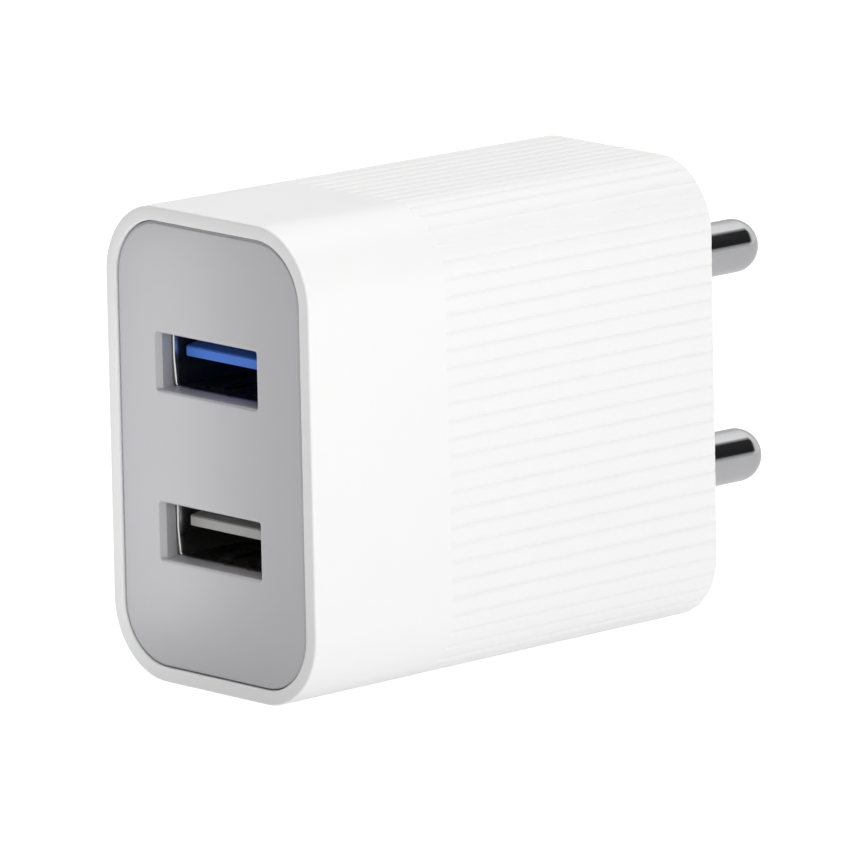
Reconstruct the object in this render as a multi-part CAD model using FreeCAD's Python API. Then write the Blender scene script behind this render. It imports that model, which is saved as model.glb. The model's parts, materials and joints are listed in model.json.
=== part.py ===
import FreeCAD, Part
import math
import os

# All sizes are in millimetres. +Z is up, the ports face -Y and the plug pins point along +Y.
# The origin is on the back face, midway between the two pins.

# Plug pins
PIN_PITCH = 19.0
PIN_DIAMETER = 4.8
PIN_REACH = 16.6
PIN_ROOT_DIAMETER = 5.3
PIN_ROOT_LENGTH = 7.0
PIN_STUB_DIAMETER = 3.0
PIN_STUB_LENGTH = 3.0
PIN_GROOVE_DEPTH = 0.45

# Housing
DEPTH = 47.5
FRONT_WIDTH = 26.6
FRONT_HEIGHT = 42.1
FRONT_RADIUS = 6.7
DRAFT = 0.4
FRONT_EDGE_RADIUS = 0.4
BACK_EDGE = 0.4
WALL = 1.8
BACK_WALL = 2.4
RIB_COUNT = 80
RIB_DEPTH = 0.15
RIB_START = 15.8

# Front panel
RIM = 1.3
PANEL_GAP = 0.1
PANEL_RECESS = 0.15
PANEL_THICKNESS = 2.05
PANEL_EDGE_RADIUS = 0.4
HOOK_WIDTH = 4.0
HOOK_SPACING = 6.8
HOOK_LENGTH = 6.0
HOOK_THICKNESS = 1.0
HOOK_BARB = 0.45

# USB-A ports
PORT_PITCH = 15.0
PORT_X = -0.3
PORT_WIDTH = 12.4
PORT_HEIGHT = 5.2
PORT_EDGE = 0.35
SHELL_WIDTH = 13.1
SHELL_HEIGHT = 5.7
SHELL_LENGTH = 13.8
SHELL_SETBACK = 1.6
SHEET = 0.3
TONGUE_WIDTH = 11.1
TONGUE_THICKNESS = 1.84
TONGUE_SETBACK = 2.5
TONGUE_NOSE = 0.8
TONGUE_BEVEL = 0.12
TONGUE_RAMP = 4.5
CONTACT_X = (-3.5, -1.0, 1.0, 3.5)
CONTACT_LEG_Z = (-0.8, -2.4, 0.8, 2.4)
CONTACT_WIDTH = 1.0

# Main board, standing on edge near the left wall with its parts facing +X
BOARD_FACE = -8.4
BOARD_THICKNESS = 1.2
BOARD_FRONT = -44.8
BOARD_REAR = -8.6
BOARD_HALF_HEIGHT = 17.0
RAIL = 1.0
LEAD_DIAMETER = 0.6
LEAD_TAIL = 0.9
HOLE_GAP = 0.1

FRONT = -DEPTH
PANEL_FACE = FRONT + PANEL_RECESS
PANEL_BACK = PANEL_FACE + PANEL_THICKNESS
SHELL_FRONT = PANEL_FACE + SHELL_SETBACK
SHELL_REAR = SHELL_FRONT + SHELL_LENGTH
TONGUE_FRONT = PANEL_FACE + TONGUE_SETBACK
BOARD_BACK = BOARD_FACE - BOARD_THICKNESS
TAIL_END = BOARD_BACK - LEAD_TAIL
INNER_WIDTH = FRONT_WIDTH - 2 * WALL
INNER_HEIGHT = FRONT_HEIGHT - 2 * WALL
INNER_RADIUS = FRONT_RADIUS - WALL
STUB_END = -(PIN_ROOT_LENGTH + PIN_STUB_LENGTH)

# Through-hole parts: name -> (y, z, diameter, length above the board, lead spacing)
CAPACITORS = {
    "input_capacitor_front": (-25.6, -11.2, 8.0, 13.0, 3.5),
    "input_capacitor_rear": (-16.6, -11.2, 8.0, 13.0, 3.5),
    "output_capacitor_upper": (-39.0, 13.0, 5.0, 11.0, 2.0),
    "output_capacitor_middle": (-39.2, 0.0, 6.3, 11.0, 2.5),
    "output_capacitor_lower": (-39.0, -13.0, 5.0, 11.0, 2.0),
}
SLEEVE = 0.15
CAN_STANDOFF = 0.2

# Transformer, with its winding axis along Z
CORE_Y = -22.5
CORE_Z = 2.0
CORE_X = -1.4
CORE_WIDTH = 16.0
CORE_LENGTH = 14.4
CORE_THICKNESS = 4.8
CORE_LEG = 4.0
CORE_BACK = 2.0
CORE_SIDE = 2.0
BOBBIN_WALL = 0.6
BOBBIN_FLANGE = 0.8
TRANSFORMER_PIN_Y = (-4.5, -1.5, 1.5, 4.5)
TRANSFORMER_PIN_Z = 7.4

# Small parts on the board: centre (y, z)
CHOKE = (-27.8, 13.2)
Y_CAPACITOR = (-20.0, 13.2)
FUSE = (-13.2, 13.6)
BRIDGE = (-12.0, 0.0)
CONTROLLER = (-21.5, 2.0)
PORT_CONTROLLER = (-36.6, 0.4)
OUTPUT_RECTIFIER = (-29.2, 2.0)
CHIP_ROWS = ((-25.6, 5.6, 4), (-25.6, -1.6, 4), (-14.6, 5.4, 2))


def box(low, high):
    """Block between two opposite corners."""
    size = [b - a for a, b in zip(low, high)]
    return Part.makeBox(*size, FreeCAD.Vector(*low))


def rod(start, axis, diameter, length):
    """Round bar from a point along an axis."""
    return Part.makeCylinder(diameter / 2, length, FreeCAD.Vector(*start), FreeCAD.Vector(*axis))


def join(pieces):
    """One solid from pieces that touch or overlap."""
    whole = pieces[0]
    for piece in pieces[1:]:
        whole = whole.fuse(piece)
    return whole.removeSplitter()


def outline_point(fraction, width, height, radius):
    """Point and outward normal at a fraction of the way round a rounded rectangle, from the +X middle."""
    flat_x = width / 2 - radius
    flat_z = height / 2 - radius
    quarter = flat_z + math.pi / 2 * radius + flat_x
    turn = fraction % 1.0 * 4
    count = int(turn)
    along = (turn - count) * quarter
    if count % 2:
        along = quarter - along
    if along <= flat_z:
        x, z, normal_x, normal_z = width / 2, along, 1.0, 0.0
    elif along >= quarter - flat_x:
        x, z, normal_x, normal_z = quarter - along, height / 2, 0.0, 1.0
    else:
        angle = (along - flat_z) / radius
        normal_x = math.cos(angle)
        normal_z = math.sin(angle)
        x = flat_x + radius * normal_x
        z = flat_z + radius * normal_z
    side_x = -1 if count in (1, 2) else 1
    side_z = -1 if count in (2, 3) else 1
    return x * side_x, z * side_z, normal_x * side_x, normal_z * side_z


def section(y, inset=0.0):
    """Width, height and corner radius of the housing at a depth, with its moulding draft."""
    narrowing = DRAFT * (y - FRONT) / DEPTH + inset
    return FRONT_WIDTH - 2 * narrowing, FRONT_HEIGHT - 2 * narrowing, FRONT_RADIUS - narrowing


def rounded_outline(y, width, height, radius):
    """Closed rounded rectangle in the plane at y."""
    flat_x = width / 2 - radius
    flat_z = height / 2 - radius
    diagonal = radius * math.sqrt(0.5)
    edges = []
    corners = ((1, 1), (-1, 1), (-1, -1), (1, -1))
    for index, (side_x, side_z) in enumerate(corners):
        on_side = FreeCAD.Vector(side_x * width / 2, y, side_z * flat_z)
        on_end = FreeCAD.Vector(side_x * flat_x, y, side_z * height / 2)
        middle = FreeCAD.Vector(side_x * (flat_x + diagonal), y, side_z * (flat_z + diagonal))
        start, end = (on_side, on_end) if index % 2 == 0 else (on_end, on_side)
        next_x, next_z = corners[(index + 1) % 4]
        if index % 2 == 0:
            joined = FreeCAD.Vector(next_x * flat_x, y, next_z * height / 2)
        else:
            joined = FreeCAD.Vector(next_x * width / 2, y, next_z * flat_z)
        edges.append(Part.Arc(start, middle, end).toShape())
        edges.append(Part.makeLine(end, joined))
    return Part.Wire(edges)


def ribbed_outline(y, inset=0.0):
    """Closed outline of convex ribs that meet in sharp valleys, with the crests on the smooth outline."""
    size = section(y, inset)
    edges = []

    def place(step, sink):
        x, z, normal_x, normal_z = outline_point(step / RIB_COUNT, *size)
        return FreeCAD.Vector(x - normal_x * sink, y, z - normal_z * sink)

    for index in range(RIB_COUNT):
        valley = place(index - 0.5, RIB_DEPTH)
        crest = place(index, 0.0)
        next_valley = place(index + 0.5, RIB_DEPTH)
        edges.append(Part.Arc(valley, crest, next_valley).toShape())
    return Part.Wire(edges)


def rounded_prism(start, end, width, height, radius):
    """Straight prism with a rounded rectangle section between two depths."""
    face = Part.Face(rounded_outline(start, width, height, radius))
    return face.extrude(FreeCAD.Vector(0, end - start, 0))


def opening_prism(start, end, width, height, centre_z):
    """Sharp-cornered prism along Y, centred on the ports' x."""
    low = (PORT_X - width / 2, start, centre_z - height / 2)
    high = (PORT_X + width / 2, end, centre_z + height / 2)
    return box(low, high)


def edges_at(shape, y):
    """Edges of a shape that lie wholly in the plane at y."""
    return [e for e in shape.Edges if abs(e.BoundBox.YMin - y) < 0.01 and abs(e.BoundBox.YMax - y) < 0.01]


def port_centres():
    return {"upper": PORT_PITCH / 2, "lower": -PORT_PITCH / 2}


def pin_centres():
    return {"upper": PIN_PITCH / 2, "lower": -PIN_PITCH / 2}


def pin_shape(z):
    """Turned pin: round nose, shank, grooved root held in the housing and a stub for its contact."""
    root = PIN_ROOT_DIAMETER / 2
    shank = PIN_DIAMETER / 2
    stub = PIN_STUB_DIAMETER / 2
    neck = root - PIN_GROOVE_DEPTH
    nose = PIN_REACH - shank
    profile = [
        (0, STUB_END),
        (stub, STUB_END),
        (stub, -PIN_ROOT_LENGTH),
        (root, -PIN_ROOT_LENGTH),
        (root, -0.65 * PIN_ROOT_LENGTH),
        (neck, -0.65 * PIN_ROOT_LENGTH),
        (neck, -0.5 * PIN_ROOT_LENGTH),
        (root, -0.5 * PIN_ROOT_LENGTH),
        (root, 0),
        (shank, 0),
        (shank, nose),
    ]
    points = [FreeCAD.Vector(r, y, z) for r, y in profile]
    edges = [Part.makeLine(a, b) for a, b in zip(points, points[1:])]
    tip = FreeCAD.Vector(0, PIN_REACH, z)
    shoulder = FreeCAD.Vector(shank * math.sqrt(0.5), nose + shank * math.sqrt(0.5), z)
    edges.append(Part.Arc(points[-1], shoulder, tip).toShape())
    edges.append(Part.makeLine(tip, points[0]))
    return Part.Face(Part.Wire(edges)).revolve(FreeCAD.Vector(0, 0, z), FreeCAD.Vector(0, 1, 0), 360)


def pin_contact(z):
    """Flat spring soldered in the board that presses on the end of a pin's stub."""
    blade = box((BOARD_FACE, STUB_END - SHEET, z - 1.5), (2.2, STUB_END, z + 1.5))
    tab = box((TAIL_END, STUB_END - SHEET, z - 0.6), (BOARD_FACE, STUB_END, z + 0.6))
    foot = box((BOARD_FACE, STUB_END - 1.8, z - 1.5), (BOARD_FACE + SHEET, STUB_END, z + 1.5))
    return join([blade, tab, foot])


def outer_body():
    """Housing without its cavity: a smooth front part and a ribbed back part."""
    rib_y = FRONT + RIB_START
    smooth = Part.makeLoft(
        [rounded_outline(y, *section(y)) for y in (FRONT, rib_y)], True, True
    )
    smooth = smooth.makeFillet(FRONT_EDGE_RADIUS, edges_at(smooth, FRONT))
    ribbed = Part.makeLoft(
        [ribbed_outline(rib_y), ribbed_outline(-BACK_EDGE), ribbed_outline(0.0, BACK_EDGE)], True, True
    )
    return smooth.fuse(ribbed)


def hook_places():
    """Middle x and side (+1 top, -1 bottom) of each panel hook."""
    return [(x, side) for x in (-HOOK_SPACING / 2, HOOK_SPACING / 2) for side in (1, -1)]


def slab_between(x0, x1, y0, y1, side, z0, z1):
    """Block given by heights measured away from the middle, towards one side."""
    low, high = sorted((side * z0, side * z1))
    return box((x0, y0, low), (x1, y1, high))


def hook_pocket(x, side):
    """Recess in the housing wall that a panel hook's barb snaps into."""
    play = 0.1
    reach = PANEL_BACK + HOOK_LENGTH
    wall = INNER_HEIGHT / 2
    half = HOOK_WIDTH / 2 + play
    start = reach - 1.2 - play
    return slab_between(x - half, x + half, start, reach + play, side, wall - 1, wall + HOOK_BARB)


def board_rails():
    """Two pairs of rails inside the housing that hold the top and bottom edges of the board."""
    rails = []
    front = FRONT + 8
    play = 0.1
    edge = BOARD_HALF_HEIGHT - 0.8
    inside = rounded_prism(front, -BACK_WALL, INNER_WIDTH + 1, INNER_HEIGHT + 1, INNER_RADIUS + 0.5)
    for side in (1, -1):
        for low in (BOARD_FACE + play, BOARD_BACK - play - RAIL):
            rail = slab_between(low, low + RAIL, front, -BACK_WALL, side, edge, INNER_HEIGHT / 2)
            rails.append(rail.common(inside))
    return rails


def housing(pins):
    """Moulded cup with a rebate for the panel, pin bosses, board rails and hook pockets."""
    body = outer_body()
    rebate = rounded_prism(
        FRONT, PANEL_BACK, FRONT_WIDTH - 2 * RIM, FRONT_HEIGHT - 2 * RIM, FRONT_RADIUS - RIM
    )
    cavity = rounded_prism(PANEL_BACK, -BACK_WALL, INNER_WIDTH, INNER_HEIGHT, INNER_RADIUS)
    body = body.cut(rebate).cut(cavity)
    for x, side in hook_places():
        body = body.cut(hook_pocket(x, side))
    for rail in board_rails():
        body = body.fuse(rail)
    for z in pin_centres().values():
        boss = rod((0, -PIN_ROOT_LENGTH, z), (0, 1, 0), 8.6, PIN_ROOT_LENGTH - BACK_WALL + 0.5)
        body = body.fuse(boss)
    body = body.removeSplitter()
    for pin in pins:
        body = body.cut(pin)
    return body


def panel_hook(x, side):
    """Springy arm with a sloped barb."""
    outer = INNER_HEIGHT / 2 - 0.1
    inner = outer - HOOK_THICKNESS
    tip = PANEL_BACK + HOOK_LENGTH
    profile = [
        (PANEL_BACK - 0.5, inner),
        (tip, inner),
        (tip, outer),
        (tip - 1.2, outer + HOOK_BARB),
        (tip - 1.2, outer),
        (PANEL_BACK - 0.5, outer),
    ]
    points = [FreeCAD.Vector(x - HOOK_WIDTH / 2, y, side * z) for y, z in profile]
    face = Part.Face(Part.makePolygon(points + points[:1]))
    return face.extrude(FreeCAD.Vector(HOOK_WIDTH, 0, 0))


def softened_opening(z):
    """Port hole through the panel with its front edge bevelled."""
    hole = opening_prism(PANEL_FACE, PANEL_BACK, PORT_WIDTH, PORT_HEIGHT, z)
    mouths = []
    for y, grow in ((PANEL_FACE, PORT_EDGE), (PANEL_FACE + PORT_EDGE, 0.0)):
        half_x = PORT_WIDTH / 2 + grow
        half_z = PORT_HEIGHT / 2 + grow
        corners = [(-half_x, -half_z), (half_x, -half_z), (half_x, half_z), (-half_x, half_z)]
        points = [FreeCAD.Vector(PORT_X + x, y, z + dz) for x, dz in corners]
        mouths.append(Part.makePolygon(points + points[:1]))
    return hole.fuse(Part.makeLoft(mouths, True, True))


def front_panel():
    """Flat inset plate with two port holes, collars round the port shells and four hooks."""
    inset = RIM + PANEL_GAP
    plate = rounded_prism(
        PANEL_FACE, PANEL_BACK, FRONT_WIDTH - 2 * inset, FRONT_HEIGHT - 2 * inset, FRONT_RADIUS - inset
    )
    plate = plate.makeFillet(PANEL_EDGE_RADIUS, edges_at(plate, PANEL_FACE))
    play = 0.1
    collar_wall = 1.0
    for x, side in hook_places():
        plate = plate.fuse(panel_hook(x, side))
    for z in port_centres().values():
        inside = SHELL_WIDTH + 2 * play, SHELL_HEIGHT + 2 * play
        outside = [size + 2 * collar_wall for size in inside]
        collar = opening_prism(PANEL_BACK - 0.3, PANEL_BACK + 2.5, *outside, z)
        plate = plate.fuse(collar)
        plate = plate.cut(opening_prism(SHELL_FRONT - 0.02, PANEL_BACK + 3, *inside, z))
        plate = plate.cut(softened_opening(z))
    return plate.removeSplitter()


def leaf_spring(z, x, side):
    """Slot in the shell's top or bottom wall with a leaf bent inwards from its rear end."""
    wall = SHELL_HEIGHT / 2
    slot = slab_between(x - 1.3, x + 1.3, SHELL_FRONT + 1.2, SHELL_FRONT + 8.2, side, wall - SHEET, wall)
    rear = SHELL_FRONT + 8.4
    dip = 0.35
    profile = [
        (rear, wall),
        (rear, wall - SHEET),
        (SHELL_FRONT + 3.2, wall - SHEET - dip),
        (SHELL_FRONT + 2.0, wall - SHEET),
        (SHELL_FRONT + 2.0, wall - 0.02),
        (SHELL_FRONT + 3.2, wall - dip),
    ]
    points = [FreeCAD.Vector(x - 1.0, y, side * height) for y, height in profile]
    face = Part.Face(Part.makePolygon(points + points[:1]))
    leaf = face.extrude(FreeCAD.Vector(2.0, 0, 0))
    move = FreeCAD.Vector(0, 0, z)
    slot.translate(move)
    leaf.translate(move)
    return slot, leaf


def shell_legs(z):
    """Four legs of the shell that reach the board and pass through it."""
    legs = []
    left = PORT_X - SHELL_WIDTH / 2
    for y in (SHELL_FRONT + 4.6, SHELL_FRONT + 10.6):
        for side in (1, -1):
            plane = SHELL_HEIGHT / 2 - SHEET
            leg = slab_between(BOARD_FACE, left + 0.1, y, y + 2.4, side, plane, SHELL_HEIGHT / 2)
            tail = slab_between(TAIL_END, left, y + 0.6, y + 1.8, side, plane, SHELL_HEIGHT / 2)
            legs += [leg, tail]
    for leg in legs:
        leg.translate(FreeCAD.Vector(0, 0, z))
    return legs


def port_shell(z):
    """Folded sheet-metal shell of a USB-A receptacle with leaf springs and board legs."""
    shell = opening_prism(SHELL_FRONT, SHELL_REAR, SHELL_WIDTH, SHELL_HEIGHT, z)
    bore = opening_prism(SHELL_FRONT - 1, SHELL_REAR - SHEET, SHELL_WIDTH - 2 * SHEET,
                         SHELL_HEIGHT - 2 * SHEET, z)
    window = opening_prism(SHELL_REAR - 2 * SHEET, SHELL_REAR, SHELL_WIDTH - 2, SHELL_HEIGHT - 1.0, z)
    shell = shell.cut(bore).cut(window)
    for x in (PORT_X - 2.8, PORT_X + 2.8):
        for side in (1, -1):
            slot, leaf = leaf_spring(z, x, side)
            shell = shell.cut(slot).fuse(leaf)
    return join([shell] + shell_legs(z))


def tongue_levels(z):
    """Bottom and top height of a port's tongue."""
    bottom = z + 0.02
    return bottom, bottom + TONGUE_THICKNESS


def port_contacts(z):
    """Four springy strips under the tongue, each bent at the rear towards its own hole in the board."""
    bottom, _ = tongue_levels(z)
    half = CONTACT_WIDTH / 2
    bend = SHELL_REAR + 0.35
    rear = SHELL_REAR + 0.6
    strips = []
    for offset, leg_z in zip(CONTACT_X, CONTACT_LEG_Z):
        x = PORT_X + offset
        blade = box((x - half, TONGUE_FRONT + 0.8, bottom), (x + half, rear, bottom + 0.2))
        low, high = sorted((bottom, z + leg_z))
        riser = box((x - half, bend, low), (x + half, rear, high + 0.25))
        leg = box((TAIL_END, bend, z + leg_z), (x + half, rear, z + leg_z + 0.25))
        strips.append(join([blade, riser, leg]))
    return Part.makeCompound(strips)


def port_tongue(z, contacts):
    """Insulator: the tongue inside the port and the block that closes the shell's rear end."""
    bottom, top = tongue_levels(z)
    half = TONGUE_WIDTH / 2
    rear = SHELL_REAR - SHEET
    nose_top = bottom + TONGUE_NOSE
    profile = [
        (TONGUE_FRONT, bottom),
        (TONGUE_FRONT, nose_top),
        (TONGUE_FRONT + TONGUE_BEVEL, nose_top + TONGUE_BEVEL),
        (TONGUE_FRONT + TONGUE_BEVEL + TONGUE_RAMP, top),
        (rear - 3.0, top),
        (rear - 3.0, bottom),
    ]
    points = [FreeCAD.Vector(PORT_X - half, y, height) for y, height in profile]
    tongue = Part.Face(Part.makePolygon(points + points[:1])).extrude(FreeCAD.Vector(2 * half, 0, 0))
    block = opening_prism(rear - 3.0, rear, SHELL_WIDTH - 2 * SHEET, SHELL_HEIGHT - 2 * SHEET, z)
    return join([tongue, block]).cut(contacts)


def capacitor_can(y, z, diameter, length):
    """Aluminium can with a crimped groove near its base."""
    base = BOARD_FACE + CAN_STANDOFF
    radius = diameter / 2 - SLEEVE
    can = rod((base, y, z), (1, 0, 0), 2 * radius, length)
    can = can.makeFillet(0.4, [e for e in can.Edges if e.BoundBox.XMin > base + length - 0.01])
    centre = FreeCAD.Vector(base + 1.6, y, z)
    groove = Part.makeTorus(radius + 0.15, 0.45, centre, FreeCAD.Vector(1, 0, 0))
    return can.cut(groove)


def capacitor_sleeve(y, z, diameter, length):
    """Shrunk plastic sleeve round a capacitor's can."""
    base = BOARD_FACE + CAN_STANDOFF
    tube = rod((base, y, z), (1, 0, 0), diameter, length - 0.4)
    return tube.cut(rod((base - 1, y, z), (1, 0, 0), diameter - 2 * SLEEVE, length + 2))


def lead(y, z, top):
    """Straight wire from inside a part down through the board."""
    return rod((TAIL_END, y, z), (1, 0, 0), LEAD_DIAMETER, top - TAIL_END)


def capacitor_leads():
    """Two wires for each capacitor."""
    wires = []
    top = BOARD_FACE + CAN_STANDOFF
    for y, z, _, _, spacing in CAPACITORS.values():
        wires += [lead(y + side * spacing / 2, z, top) for side in (1, -1)]
    return Part.makeCompound(wires)


def core_half(side):
    """One E-shaped half of the transformer's ferrite core."""
    half_width = CORE_WIDTH / 2
    half_leg = CORE_LEG / 2
    end = CORE_LENGTH / 2
    low_x = CORE_X - CORE_THICKNESS / 2
    high_x = CORE_X + CORE_THICKNESS / 2
    spans = [
        (-half_width, half_width, end - CORE_BACK, end),
        (-half_width, -half_width + CORE_SIDE, 0.0, end),
        (half_width - CORE_SIDE, half_width, 0.0, end),
        (-half_leg, half_leg, 0.1, end),
    ]
    pieces = []
    for low_y, high_y, low_z, high_z in spans:
        pieces.append(slab_between(low_x, high_x, CORE_Y + low_y, CORE_Y + high_y, side, low_z, high_z))
    half = join(pieces)
    half.translate(FreeCAD.Vector(0, 0, CORE_Z))
    return half


def centred_block(half_x, half_y, low_z, high_z):
    """Block centred on the transformer's winding axis."""
    low = (CORE_X - half_x, CORE_Y - half_y, CORE_Z + low_z)
    high = (CORE_X + half_x, CORE_Y + half_y, CORE_Z + high_z)
    return box(low, high)


def bobbin_tube():
    """Half sizes (x, y) of the bobbin tube's outside."""
    return CORE_THICKNESS / 2 + 0.1 + BOBBIN_WALL, CORE_LEG / 2 + 0.1 + BOBBIN_WALL


def transformer_pins():
    """Stiff wires that carry the bobbin on the board."""
    wires = []
    for side in (1, -1):
        for offset in TRANSFORMER_PIN_Y:
            wires.append(lead(CORE_Y + offset, CORE_Z + side * TRANSFORMER_PIN_Z, CORE_X - 4.4))
    return Part.makeCompound(wires)


def transformer_bobbin(pins):
    """Moulded bobbin: square tube, two flanges and two pin blocks."""
    half_x, half_y = bobbin_tube()
    end = CORE_LENGTH / 2 - CORE_BACK - 0.1
    tube = centred_block(half_x, half_y, -end, end)
    bore = centred_block(CORE_THICKNESS / 2 + 0.1, CORE_LEG / 2 + 0.1, -end - 1, end + 1)
    pieces = [tube]
    for side in (1, -1):
        low, high = sorted((side * (end - BOBBIN_FLANGE), side * end))
        pieces.append(centred_block(6.4, 5.9, low, high))
        low, high = sorted((side * (end - BOBBIN_FLANGE), side * (end + 3.1)))
        block = centred_block(1.7, 5.9, low, high)
        block.translate(FreeCAD.Vector(-4.8, 0, 0))
        pieces.append(block)
    return join(pieces).cut(bore).cut(pins)


def wound_layer(inner, outer):
    """Hollow rounded layer on the bobbin between two build-ups measured from its tube."""
    half_x, half_y = bobbin_tube()
    end = CORE_LENGTH / 2 - CORE_BACK - 0.1 - BOBBIN_FLANGE
    solid = centred_block(half_x + outer, half_y + outer, -end, end)
    upright = [e for e in solid.Edges if e.BoundBox.ZLength > 1]
    solid = solid.makeFillet(outer * 0.6, upright)
    hollow = centred_block(half_x + inner, half_y + inner, -end - 1, end + 1)
    if inner > 0:
        upright = [e for e in hollow.Edges if e.BoundBox.ZLength > 1]
        hollow = hollow.makeFillet(inner * 0.6, upright)
    return solid.cut(hollow)


def choke_core():
    """Ferrite drum standing on the board."""
    y, z = CHOKE
    base = BOARD_FACE + 0.4
    flanges = [rod((base + x, y, z), (1, 0, 0), 5.2, 1.0) for x in (0.0, 6.5)]
    return join([rod((base, y, z), (1, 0, 0), 2.4, 7.5)] + flanges)


def choke_winding():
    """Layer of wire in the drum's groove."""
    y, z = CHOKE
    base = BOARD_FACE + 1.4
    return rod((base, y, z), (1, 0, 0), 4.6, 5.5).cut(rod((base, y, z), (1, 0, 0), 2.4, 5.5))


def choke_leads():
    y, z = CHOKE
    return Part.makeCompound([lead(y + offset, z, BOARD_FACE + 0.4) for offset in (-1.6, 1.6)])


def y_capacitor():
    """Lacquered ceramic disc standing on edge."""
    y, z = Y_CAPACITOR
    disc = rod((BOARD_FACE + 4.8, y, z - 1.3), (0, 0, 1), 7.0, 2.6)
    return disc.makeFillet(1.0, [e for e in disc.Edges if e.BoundBox.ZLength < 0.01])


def y_capacitor_leads(disc):
    y, z = Y_CAPACITOR
    wires = [lead(y + offset, z, BOARD_FACE + 4.8).cut(disc) for offset in (-2.5, 2.5)]
    return Part.makeCompound(wires)


def fuse_resistor():
    """Round resistor body with swollen ends, standing upright."""
    y, z = FUSE
    base = BOARD_FACE + 0.8
    ends = [rod((base + x, y, z), (1, 0, 0), 3.4, 1.6) for x in (0.0, 7.4)]
    return join([rod((base, y, z), (1, 0, 0), 3.0, 9.0)] + ends)


def fuse_resistor_leads():
    """One wire straight down and one that loops over and comes down beside the body."""
    y, z = FUSE
    base = BOARD_FACE + 0.8
    top = base + 9.0
    straight = lead(y, z, base)
    side_y = y - 2.6
    rise = rod((top, y, z), (1, 0, 0), LEAD_DIAMETER, 0.8)
    over = rod((top + 0.8, side_y, z), (0, 1, 0), LEAD_DIAMETER, y - side_y)
    down = lead(side_y, z, top + 0.8)
    knuckles = [
        Part.makeSphere(LEAD_DIAMETER / 2, FreeCAD.Vector(top + 0.8, at_y, z)) for at_y in (y, side_y)
    ]
    return Part.makeCompound([straight, join([rise, over, down] + knuckles)])


def chip(centre, size, side):
    """Flat moulded body on one face of the board: side +1 for the parts face, -1 for the solder face."""
    y, z = centre
    size_y, size_z, height = size
    stand = 0.15
    if side > 0:
        low_x, high_x = BOARD_FACE + stand, BOARD_FACE + stand + height
    else:
        low_x, high_x = BOARD_BACK - stand - height, BOARD_BACK - stand
    return box((low_x, y - size_y / 2, z - size_z / 2), (high_x, y + size_y / 2, z + size_z / 2))


def chip_legs(centre, size, side, count):
    """Gull-wing legs in two rows along Y, at the -Z and +Z edges of a chip."""
    y, z = centre
    size_y, size_z, height = size
    pitch = size_y / count
    thick = 0.2
    legs = []
    for index in range(count):
        leg_y = y - size_y / 2 + (index + 0.5) * pitch
        width = pitch * 0.28
        for row in (1, -1):
            edge = size_z / 2
            middle = height / 2
            foot = slab_between(0, thick, leg_y - width, leg_y + width, row, edge + 0.3, edge + 0.9)
            riser = slab_between(0, middle + thick, leg_y - width, leg_y + width, row, edge + 0.3,
                                 edge + 0.3 + thick)
            arm = slab_between(middle, middle + thick, leg_y - width, leg_y + width, row, edge,
                               edge + 0.3 + thick)
            legs.append(join([foot, riser, arm]))
    for leg in legs:
        if side < 0:
            leg.rotate(FreeCAD.Vector(0, y, 0), FreeCAD.Vector(0, 0, 1), 180)
        leg.translate(FreeCAD.Vector(BOARD_FACE if side > 0 else BOARD_BACK, 0, z))
    return Part.makeCompound(legs)


CHIPS = {
    "bridge_rectifier": (BRIDGE, (3.9, 4.7, 2.4), 1, 2),
    "controller_chip": (CONTROLLER, (4.9, 3.9, 1.2), -1, 4),
    "port_controller_chip": (PORT_CONTROLLER, (2.9, 1.6, 0.9), -1, 3),
    "output_rectifier": (OUTPUT_RECTIFIER, (2.8, 4.2, 1.1), -1, 1),
}


def chip_resistors():
    """Rows of small chip resistors on the solder face."""
    parts = []
    for first_y, z, count in CHIP_ROWS:
        for index in range(count):
            y = first_y + index * 2.2
            parts.append(box((BOARD_BACK - 0.5, y - 0.6, z - 1.0), (BOARD_BACK, y + 0.6, z + 1.0)))
    return Part.makeCompound(parts)


def main_board(through):
    """Circuit board with an isolation slot and a hole for every wire and leg that passes through it."""
    low = (BOARD_BACK, BOARD_FRONT, -BOARD_HALF_HEIGHT)
    high = (BOARD_FACE, BOARD_REAR, BOARD_HALF_HEIGHT)
    board = box(low, high)
    board = board.makeFillet(1.0, [e for e in board.Edges if e.BoundBox.XLength > 0.5])
    slot = box((BOARD_BACK, -31.0, -15.6), (BOARD_FACE, -30.2, -12.2))
    board = board.cut(slot)
    for shape in through:
        bounds = shape.BoundBox
        low = (BOARD_BACK, bounds.YMin - HOLE_GAP, bounds.ZMin - HOLE_GAP)
        high = (BOARD_FACE, bounds.YMax + HOLE_GAP, bounds.ZMax + HOLE_GAP)
        if bounds.YLength < LEAD_DIAMETER + 0.01 and bounds.ZLength < LEAD_DIAMETER + 0.01:
            centre = bounds.Center
            hole = rod((BOARD_BACK, centre.y, centre.z), (1, 0, 0), LEAD_DIAMETER + 2 * HOLE_GAP,
                       BOARD_THICKNESS)
        else:
            hole = box(low, high)
        board = board.cut(hole)
    return board


def tails(shapes):
    """The parts of wires and legs that lie within the board's thickness, one solid each."""
    layer = box((BOARD_BACK, -DEPTH, -INNER_HEIGHT), (BOARD_FACE, 0, INNER_HEIGHT))
    found = []
    for shape in shapes:
        found += shape.common(layer).Solids
    return found


def solder_joints(through, wires):
    """Cone of solder round every tail on the solder face."""
    joints = []
    for tail in through:
        centre = tail.BoundBox.Center
        reach = max(tail.BoundBox.YLength, tail.BoundBox.ZLength) / 2
        cone = Part.makeCone(
            reach + 0.35, reach + 0.05, 0.6, FreeCAD.Vector(BOARD_BACK, centre.y, centre.z),
            FreeCAD.Vector(-1, 0, 0),
        )
        for wire in wires:
            if wire.BoundBox.intersect(cone.BoundBox):
                cone = cone.cut(wire)
        joints.append(cone)
    return Part.makeCompound(joints)


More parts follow.
